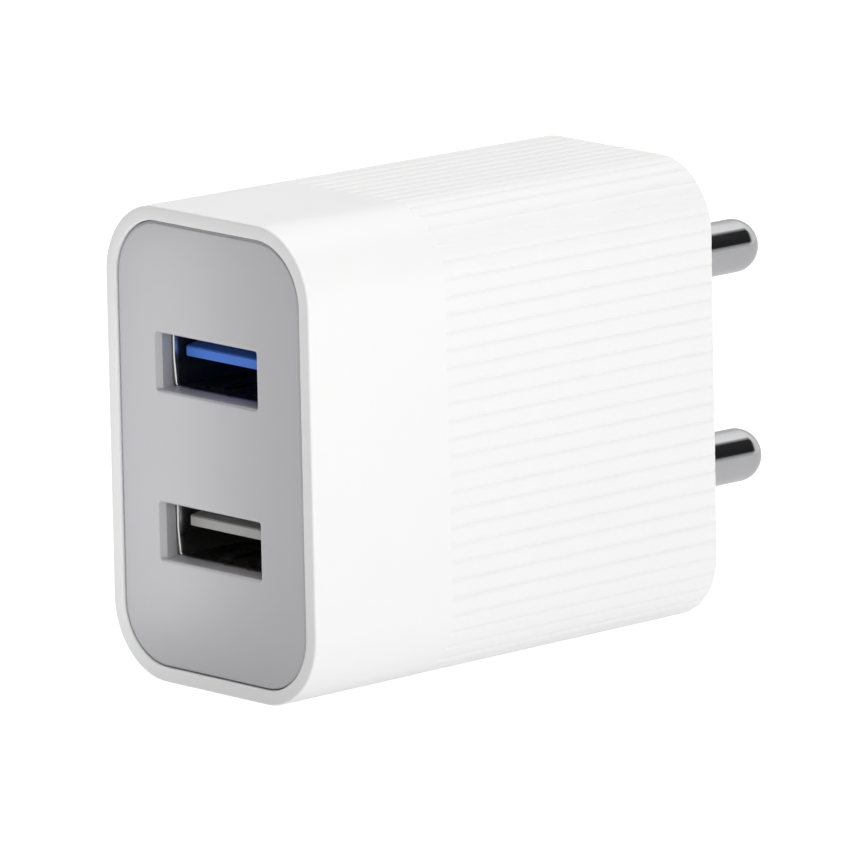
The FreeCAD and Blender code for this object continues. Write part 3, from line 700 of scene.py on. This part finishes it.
def make_pin(name, centre_z, low, high):
    """Turned pin with a round nose and a grooved root that stays in the housing."""
    root = (high.z - low.z) / 2
    groove = root - PIN_GROOVE_DEPTH
    stub = PIN_STUB_RADIUS
    nose = high.y - PIN_RADIUS
    steps = [
        (low.y, 0.02 * MM), (low.y, stub - PIN_STUB_CHAMFER), (low.y + PIN_STUB_CHAMFER, stub),
        (PIN_ROOT_FRONT, stub), (PIN_ROOT_FRONT, root),
        (PIN_GROOVE_FRONT, root), (PIN_GROOVE_FRONT, groove),
        (PIN_GROOVE_BACK, groove), (PIN_GROOVE_BACK, root),
        (BACK, root), (BACK, PIN_RADIUS),
    ]
    steps += [(BACK + (nose - BACK) * i / PIN_BANDS, PIN_RADIUS) for i in range(1, PIN_BANDS + 1)]
    for sine, cosine in quarter_turn(24)[1:-1]:
        steps.append((nose + PIN_RADIUS * sine, PIN_RADIUS * cosine))
    steps.append((high.y - 0.001 * MM, 0.05 * MM))
    shape = Shape()
    shape.add_solid([round_ring(y, radius, centre_z, PIN_POINTS) for y, radius in steps])
    return shape.build(name, 35)


# ---------------------------------------------------------------- materials

def feed(links, socket, value):
    """Gives a node's input either another node's output or a plain value."""
    if isinstance(value, bpy.types.NodeSocket):
        links.new(value, socket)
    else:
        socket.default_value = value


class Look:
    """A node material built up from the Principled shader."""

    def __init__(self, name, color, roughness, metallic=0.0, **values):
        self.material = bpy.data.materials.new(name)
        self.material.use_nodes = True
        self.nodes = self.material.node_tree.nodes
        self.links = self.material.node_tree.links
        self.shader = self.nodes["Principled BSDF"]
        self.set("Base Color", (*color, 1.0))
        self.set("Roughness", roughness)
        self.set("Metallic", metallic)
        for socket, value in values.items():
            self.set(socket.replace("_", " "), value)
        self.place = self.nodes.new("ShaderNodeTexCoord").outputs["Object"]

    def set(self, socket, value):
        """Gives one of the shader's inputs a plain value."""
        self.shader.inputs[socket].default_value = value

    def link(self, output, socket):
        """Feeds one of the shader's inputs from another node."""
        self.links.new(output, self.shader.inputs[socket])

    def node(self, kind, inputs=None, **settings):
        """A node with settings, and inputs given as values or as other nodes' outputs."""
        made = self.nodes.new(kind)
        for key, value in settings.items():
            setattr(made, key, value)
        for key, value in (inputs or {}).items():
            feed(self.links, made.inputs[key], value)
        return made

    def stretched(self, scale):
        """Object coordinates scaled by axis."""
        return self.node("ShaderNodeMapping", {"Vector": self.place, "Scale": scale}).outputs["Vector"]

    def noise(self, scale, detail=3.0, vector=None):
        """Noise texture from 0 to 1."""
        inputs = {"Vector": vector or self.place, "Scale": scale, "Detail": detail}
        return self.node("ShaderNodeTexNoise", inputs).outputs["Fac"]

    def spread(self, value, low, high, from_low=0.3, from_high=0.7):
        """Maps a texture's value to a range."""
        inputs = {
            "Value": value, "From Min": from_low, "From Max": from_high, "To Min": low, "To Max": high,
        }
        return self.node("ShaderNodeMapRange", inputs).outputs["Result"]

    def blend(self, factor, a, b):
        """Mixes two colours by a factor."""
        inputs = {0: factor, 6: (*a, 1.0), 7: (*b, 1.0)}
        return self.node("ShaderNodeMix", inputs, data_type="RGBA").outputs[2]

    def bump(self, height, distance, strength=1.0, below=None):
        """Bump from a height texture, stacked on another bump if given."""
        inputs = {"Height": height, "Distance": distance, "Strength": strength}
        if below:
            inputs["Normal"] = below
        output = self.node("ShaderNodeBump", inputs).outputs["Normal"]
        self.link(output, "Normal")
        return output


def white_plastic():
    """Satin white moulded plastic with a very fine grain and faint handling marks."""
    look = Look("housing_white", (0.86, 0.86, 0.855), 0.34, IOR=1.49)
    drift = look.noise(60.0, 2.0)
    look.link(look.blend(drift, (0.855, 0.857, 0.855), (0.87, 0.87, 0.866)), "Base Color")
    smudge = look.noise(240.0, 4.0)
    look.link(look.spread(smudge, 0.28, 0.40), "Roughness")
    grain = look.bump(look.noise(5200.0, 2.0), 0.004 * MM)
    look.bump(look.noise(350.0, 2.0), 0.004 * MM, below=grain)
    return look.material


def grey_plastic():
    """Satin silver-grey plastic of the front panel, slightly metallic, with a fine grain."""
    look = Look("panel_grey", (0.50, 0.496, 0.52), 0.33, 0.2, IOR=1.7)
    drift = look.noise(80.0, 3.0)
    look.link(look.blend(drift, (0.493, 0.489, 0.514), (0.507, 0.503, 0.529)), "Base Color")
    look.link(look.spread(look.noise(500.0, 4.0), 0.32, 0.34), "Roughness")
    look.bump(look.noise(6500.0, 2.0), 0.003 * MM)
    return look.material


def metal(name, color, low, high, along=(1.0, 1.0, 1.0)):
    """Polished or plated metal with fine marks, which can be drawn out along an axis."""
    look = Look(name, color, low, 1.0)
    marks = look.noise(900.0, 3.0, look.stretched(along))
    look.link(look.spread(marks, low, high), "Roughness")
    look.link(look.blend(look.noise(500.0, 2.0), color, [c * 0.93 for c in color]), "Base Color")
    look.bump(marks, 0.0015 * MM)
    return look.material


def shell_metal():
    """Drawn sheet metal, bright plated colour at the mouth, with painted shade darkening it behind the
    mouth.
    """
    look = Look("port_shell_metal", (0.24, 0.24, 0.245), 0.3, 1.0)
    marks = look.noise(900.0, 3.0, look.stretched((1.0, 0.2, 1.0)))
    look.link(look.spread(marks, 0.25, 0.4), "Roughness")
    depth = look.node("ShaderNodeSeparateXYZ", {"Vector": look.place}).outputs["Y"]
    # Painted shade: the base colour darkens from just behind the mouth inwards, where the inside of the
    # port lies in shade.
    painted_shade_behind_mouth = look.spread(depth, 0.0, 1.0, SHELL_MOUTH + 0.3 * MM, SHELL_MOUTH + 0.6 * MM)
    look.link(look.blend(painted_shade_behind_mouth, (0.85, 0.85, 0.84), (0.22, 0.22, 0.225)), "Base Color")
    look.bump(marks, 0.0015 * MM)
    return look.material


def moulded(name, color, roughness=0.45, grain=2500.0):
    """Plain moulded plastic in a colour, with a grain and slight tone drift."""
    look = Look(name, color, roughness, IOR=1.5)
    look.link(look.blend(look.noise(400.0, 3.0), color, [c * 0.88 for c in color]), "Base Color")
    look.link(look.spread(look.noise(900.0, 3.0), roughness - 0.06, roughness + 0.08), "Roughness")
    look.bump(look.noise(grain, 2.0), 0.004 * MM)
    return look.material


def circuit_board():
    """Green solder mask with darker bare areas and a hint of the copper lines beneath."""
    look = Look("circuit_board", (0.02, 0.13, 0.05), 0.3, IOR=1.5)
    bricks = look.node("ShaderNodeTexBrick", {
        "Vector": look.stretched((0.0, 1.0, 1.0)), "Scale": 260.0, "Mortar Size": 0.03,
        "Color1": (1, 1, 1, 1), "Color2": (0.85, 0.85, 0.85, 1), "Mortar": (0, 0, 0, 1),
    })
    tone = look.blend(bricks.outputs["Color"], (0.012, 0.09, 0.035), (0.03, 0.17, 0.065))
    look.link(tone, "Base Color")
    look.link(look.spread(look.noise(700.0), 0.25, 0.4), "Roughness")
    look.bump(bricks.outputs["Fac"], 0.02 * MM, 0.6)
    return look.material


def wound_wire(name, axis):
    """Enamelled copper wire wound in close turns across one axis."""
    look = Look(name, (0.55, 0.17, 0.05), 0.3, 0.9)
    wave = look.node("ShaderNodeTexWave", {"Vector": look.place, "Scale": 900.0, "Distortion": 0.4},
                     bands_direction=axis)
    # Painted shade: the colour darkens in the grooves between the turns.
    look.link(look.blend(wave.outputs["Fac"], (0.22, 0.06, 0.015), (0.72, 0.27, 0.09)), "Base Color")
    look.bump(wave.outputs["Fac"], 0.05 * MM)
    return look.material


def yellow_tape():
    """Thin glossy tape wrapped over the winding, with the edges of its turns showing."""
    look = Look("winding_tape", (0.82, 0.55, 0.06), 0.25, IOR=1.55)
    wave = look.node("ShaderNodeTexWave", {"Vector": look.place, "Scale": 160.0, "Distortion": 1.5},
                     bands_direction="Z")
    look.link(look.blend(wave.outputs["Fac"], (0.74, 0.46, 0.04), (0.87, 0.62, 0.10)), "Base Color")
    look.bump(wave.outputs["Fac"], 0.02 * MM)
    return look.material


def ferrite():
    """Dark ground ceramic with pores."""
    look = Look("ferrite", (0.03, 0.03, 0.033), 0.55)
    voronoi = look.node("ShaderNodeTexVoronoi", {"Vector": look.place, "Scale": 3500.0})
    pores = voronoi.outputs["Distance"]
    look.link(look.blend(pores, (0.015, 0.015, 0.017), (0.05, 0.05, 0.054)), "Base Color")
    look.link(look.spread(look.noise(800.0), 0.45, 0.65), "Roughness")
    look.bump(pores, 0.01 * MM)
    return look.material


def film():
    """Milky insulation film with faint waviness."""
    look = Look("insulation_film", (0.78, 0.80, 0.76), 0.3, IOR=1.5)
    look.link(look.blend(look.noise(200.0), (0.74, 0.76, 0.72), (0.82, 0.83, 0.80)), "Base Color")
    look.bump(look.noise(180.0, 1.0), 0.02 * MM)
    return look.material


def slot_materials():
    """One material for each slot of the record."""
    return {
        "housing_white": white_plastic(),
        "panel_grey": grey_plastic(),
        "insulation_film": film(),
        "pin_metal": metal("pin_metal", (0.56, 0.56, 0.572), 0.05, 0.12, (1.0, 0.15, 1.0)),
        "contact_bronze": metal("contact_bronze", (0.66, 0.42, 0.22), 0.2, 0.35),
        "port_shell_metal": shell_metal(),
        "tongue_blue": moulded("tongue_blue", (0.075, 0.25, 0.93), 0.6),
        "tongue_pale": moulded("tongue_pale", (0.56, 0.56, 0.535), 0.6),
        "contact_gold": metal("contact_gold", (0.80, 0.56, 0.22), 0.15, 0.3),
        "circuit_board": circuit_board(),
        "solder": metal("solder", (0.62, 0.63, 0.65), 0.2, 0.4),
        "tinned_wire": metal("tinned_wire", (0.66, 0.66, 0.65), 0.25, 0.4),
        "ferrite": ferrite(),
        "bobbin_plastic": moulded("bobbin_plastic", (0.025, 0.025, 0.025), 0.5),
        "copper_winding": wound_wire("copper_winding", "Z"),
        "winding_tape": yellow_tape(),
        "ceramic_lacquer": moulded("ceramic_lacquer", (0.03, 0.14, 0.42), 0.25),
        "resistor_coating": moulded("resistor_coating", (0.13, 0.30, 0.32), 0.35),
        "chip_epoxy": moulded("chip_epoxy", (0.018, 0.018, 0.02), 0.6, 4000.0),
        "chip_resistor_body": moulded("chip_resistor_body", (0.03, 0.03, 0.035), 0.4, 4000.0),
        "capacitor_can": metal("capacitor_can", (0.75, 0.75, 0.76), 0.2, 0.35),
        "capacitor_sleeve_black": moulded("capacitor_sleeve_black", (0.02, 0.02, 0.025), 0.3),
        "capacitor_sleeve_green": moulded("capacitor_sleeve_green", (0.01, 0.09, 0.05), 0.3),
    }


# ---------------------------------------------------------------- studio

# Camera: direction in degrees, and the aim point beside and behind the middle of the front face
CAMERA_AZIMUTH = 48.385
CAMERA_ELEVATION = 11.646
CAMERA_ROLL = -1.212
CAMERA_DISTANCE = 1235.26 * MM
CAMERA_LENS = 600.6
CAMERA_SENSOR = 36.0
CAMERA_REACH = 100.0
AIM_RIGHT = 3.633 * MM
AIM_UP = -0.459 * MM
AIM_DEPTH = 20.0 * MM

# Floor: brightness as a source of light, in mirror reflections and to the camera
FLOOR_HALF = 40.0
FLOOR_GAP = 0.01 * MM
FLOOR_LIGHT = 0.52
FLOOR_MIRRORED = 0.26
FLOOR_SHOWN = 0.8

# World: brightness by direction
WORLD_SIDE = 1.54
WORLD_ABOVE = 1.36
WORLD_LEFT = 0.93
WORLD_RIGHT = 0.6
WORLD_FAR = 0.7
WORLD_FAR_AIM = (-0.75, 0.66)
WORLD_BACK = 0.92
WORLD_FRONT = 0.03
WORLD_SHOWN = 1.0

# Dark screen behind the charger: edges by angle above the right, then by share of the way back
SCREEN_LOW_EDGE = (math.radians(16), math.radians(36))
SCREEN_HIGH_EDGE = (math.radians(106), math.radians(80))
SCREEN_NEAR_EDGE = (0.40, 0.58)
SCREEN_FAR_EDGE = (0.95, 0.78)
SCREEN_DARKNESS = 0.97
SCREEN_RAGGED = 0.5
SCREEN_RAGGED_SCALE = 5.0

# Area lights
KEY_PLACE = (240 * MM, -130 * MM, 70 * MM)
KEY_AIM = (13 * MM, -30 * MM, 0.0)
KEY_SIZE = (200 * MM, 200 * MM)
KEY_RADIANCE = 1.40
FRONT_LIGHT_PLACE = (-21.2 * MM, -61.5 * MM, -2.5 * MM)
FRONT_LIGHT_AIM = (-5.5 * MM, -47.5 * MM, -2.5 * MM)
FRONT_LIGHT_SIZE = (8.5 * MM, 36 * MM)
FRONT_LIGHT_RADIANCE = 0.90


def make_camera():
    """Long-lens camera at the front right, a little above the charger and slightly rolled."""
    azimuth = math.radians(CAMERA_AZIMUTH)
    elevation = math.radians(CAMERA_ELEVATION)
    roll = math.radians(CAMERA_ROLL)
    back = Vector((
        math.sin(azimuth) * math.cos(elevation),
        -math.cos(azimuth) * math.cos(elevation),
        math.sin(elevation),
    ))
    right = Vector((math.cos(azimuth), math.sin(azimuth), 0.0))
    up = back.cross(right)
    aim = right * AIM_RIGHT + up * AIM_UP + Vector((0.0, FRONT + AIM_DEPTH, 0.0))
    rolled_right = right * math.cos(roll) + up * math.sin(roll)
    rolled_up = up * math.cos(roll) - right * math.sin(roll)
    data = bpy.data.cameras.new("camera")
    data.lens = CAMERA_LENS
    data.sensor_width = CAMERA_SENSOR
    data.clip_end = CAMERA_REACH
    camera = bpy.data.objects.new("camera", data)
    turn = Matrix((rolled_right, rolled_up, back)).transposed()
    camera.matrix_world = Matrix.Translation(aim + back * CAMERA_DISTANCE) @ turn.to_4x4()
    bpy.context.scene.collection.objects.link(camera)
    bpy.context.scene.camera = camera


def make_floor():
    """Large white floor below the charger, brightest to the camera and dimmest in reflections."""
    size = FLOOR_HALF
    level = cad_box[0].z - FLOOR_GAP
    corners = [(-size, -size, level), (size, -size, level), (size, size, level), (-size, size, level)]
    floor = mesh_object("floor", corners, [(0, 1, 2, 3)])
    look = Look("floor_white", (0.5, 0.5, 0.5), 0.9)
    look.set("Specular IOR Level", 0.0)
    look.set("Emission Color", (1.0, 1.0, 1.0, 1.0))
    path = look.node("ShaderNodeLightPath").outputs
    mirrored = look.spread(path["Is Glossy Ray"], FLOOR_LIGHT, FLOOR_MIRRORED, 0.0, 1.0)
    shown = look.node("ShaderNodeMix", {0: path["Is Camera Ray"], 2: mirrored, 3: FLOOR_SHOWN})
    look.link(shown.outputs[0], "Emission Strength")
    floor.data.materials.append(look.material)


def soft_box(name, place, aim, size, radiance):
    """Rectangular area light that faces a point."""
    data = bpy.data.lights.new(name, "AREA")
    data.shape = "RECTANGLE"
    data.size, data.size_y = size
    data.energy = 4.0 * size[0] * size[1] * radiance
    lamp = bpy.data.objects.new(name, data)
    lamp.location = place
    lamp.rotation_euler = (Vector(aim) - Vector(place)).to_track_quat("-Z", "Y").to_euler()
    lamp.visible_camera = False
    bpy.context.scene.collection.objects.link(lamp)


class Sky:
    """The world's nodes, with short names for the operations that set its brightness."""

    def __init__(self, world):
        self.nodes = world.node_tree.nodes
        self.links = world.node_tree.links
        self.direction = self.nodes.new("ShaderNodeTexCoord").outputs["Generated"]
        split = self.nodes.new("ShaderNodeSeparateXYZ")
        self.links.new(self.direction, split.inputs[0])
        self.x, self.y, self.z = split.outputs

    def maths(self, operation, a, b):
        """Result of an operation on two values or outputs."""
        node = self.nodes.new("ShaderNodeMath")
        node.operation = operation
        feed(self.links, node.inputs[0], a)
        feed(self.links, node.inputs[1], b)
        return node.outputs[0]

    def ramp(self, value, low, high, to_low=0.0, to_high=1.0):
        """Smooth step from one level to another."""
        node = self.nodes.new("ShaderNodeMapRange")
        node.interpolation_type = "SMOOTHSTEP"
        self.links.new(value, node.inputs["Value"])
        node.inputs["From Min"].default_value = low
        node.inputs["From Max"].default_value = high
        node.inputs["To Min"].default_value = to_low
        node.inputs["To Max"].default_value = to_high
        return node.outputs["Result"]


def screen_shade(sky):
    """Share of the light that is left where the dark screen with its ragged edges stands."""
    ragged = sky.nodes.new("ShaderNodeTexNoise")
    sky.links.new(sky.direction, ragged.inputs["Vector"])
    ragged.inputs["Scale"].default_value = SCREEN_RAGGED_SCALE
    wander = sky.maths("MULTIPLY", ragged.outputs["Fac"], SCREEN_RAGGED)
    around = sky.maths("ADD", sky.maths("ARCTAN2", sky.z, sky.x), wander)
    low_edge = sky.ramp(around, *SCREEN_LOW_EDGE)
    high_edge = sky.ramp(around, *SCREEN_HIGH_EDGE)
    near_edge = sky.ramp(sky.y, *SCREEN_NEAR_EDGE)
    far_edge = sky.ramp(sky.y, *SCREEN_FAR_EDGE)
    depth = sky.maths("MULTIPLY", near_edge, far_edge)
    screen = sky.maths("MULTIPLY", sky.maths("MULTIPLY", low_edge, high_edge), depth)
    return sky.maths("SUBTRACT", 1.0, sky.maths("MULTIPLY", screen, SCREEN_DARKNESS))


def sky_light(sky):
    """Brightness by direction: bright at the sides and above, dim in front and far back on the left."""
    aim_x, aim_y = WORLD_FAR_AIM
    far_left = sky.maths("ADD", sky.maths("MULTIPLY", sky.x, aim_x), sky.maths("MULTIPLY", sky.y, aim_y))
    falls = (
        (sky.y, -0.45, -0.05, WORLD_FRONT, 1.0),
        (sky.x, 0.45, 0.9, 1.0, WORLD_RIGHT),
        (sky.x, -0.6, 0.1, WORLD_LEFT, 1.0),
        (sky.z, 0.2, 0.9, 1.0, WORLD_ABOVE),
        (far_left, 0.72, 0.98, 1.0, WORLD_FAR),
    )
    light = sky.ramp(sky.y, 0.38, 0.52, WORLD_SIDE, WORLD_BACK)
    for fall in falls:
        light = sky.maths("MULTIPLY", light, sky.ramp(*fall))
    return light


def make_world():
    """Soft light from all round with a dark screen behind, and plain white to the camera."""
    world = bpy.data.worlds.new("studio")
    world.use_nodes = True
    bpy.context.scene.world = world
    sky = Sky(world)
    background = sky.nodes["Background"]
    strength = sky.maths("MULTIPLY", sky_light(sky), screen_shade(sky))
    shown = sky.nodes.new("ShaderNodeMix")
    path = sky.nodes.new("ShaderNodeLightPath").outputs
    for index, value in ((0, path["Is Camera Ray"]), (2, strength), (3, WORLD_SHOWN)):
        feed(sky.links, shown.inputs[index], value)
    sky.links.new(shown.outputs[0], background.inputs["Strength"])
    background.inputs["Color"].default_value = (1.0, 1.0, 1.0, 1.0)


def make_lights():
    """Large key light on the right and a narrow soft box close to the front on the left."""
    soft_box("key_light", KEY_PLACE, KEY_AIM, KEY_SIZE, KEY_RADIANCE)
    soft_box("front_light", FRONT_LIGHT_PLACE, FRONT_LIGHT_AIM, FRONT_LIGHT_SIZE, FRONT_LIGHT_RADIANCE)


# ---------------------------------------------------------------- assembly

def stand_in(piece, slot, *nodes):
    """A detailed piece that takes the place of CAD nodes and their material slot."""
    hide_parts(*nodes)
    dress(piece, slot)


def dress(piece, slot):
    """Gives a piece its material and fixes it to the body."""
    piece.data.materials.clear()
    piece.data.materials.append(materials[slot])
    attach(piece, BODY)


materials = slot_materials()
stand_in(make_housing(), "housing_white", "housing")
dress(make_rails(), "housing_white")
stand_in(make_panel(), "panel_grey", "front_panel")
for port_name, port_centre in port_places().items():
    stand_in(make_port_shell(port_name, port_centre), "port_shell_metal", "port_shell_" + port_name)
    tongue_slot = "tongue_blue" if port_name == "upper" else "tongue_pale"
    stand_in(make_tongue(port_name, port_centre), tongue_slot, "port_tongue_" + port_name)
for pin_name, (pin_z, pin_low, pin_high) in pin_places().items():
    stand_in(make_pin(pin_name + "_turned", pin_z, pin_low, pin_high), "pin_metal", pin_name)

for part in frame["record"]["subparts"]:
    node = frame["nodes"][part["node"]]
    node.data.materials.clear()
    node.data.materials.append(materials[part["material_slot"]])

make_floor()
make_camera()
make_world()
make_lights()
bpy.context.scene.view_settings.view_transform = "Standard"
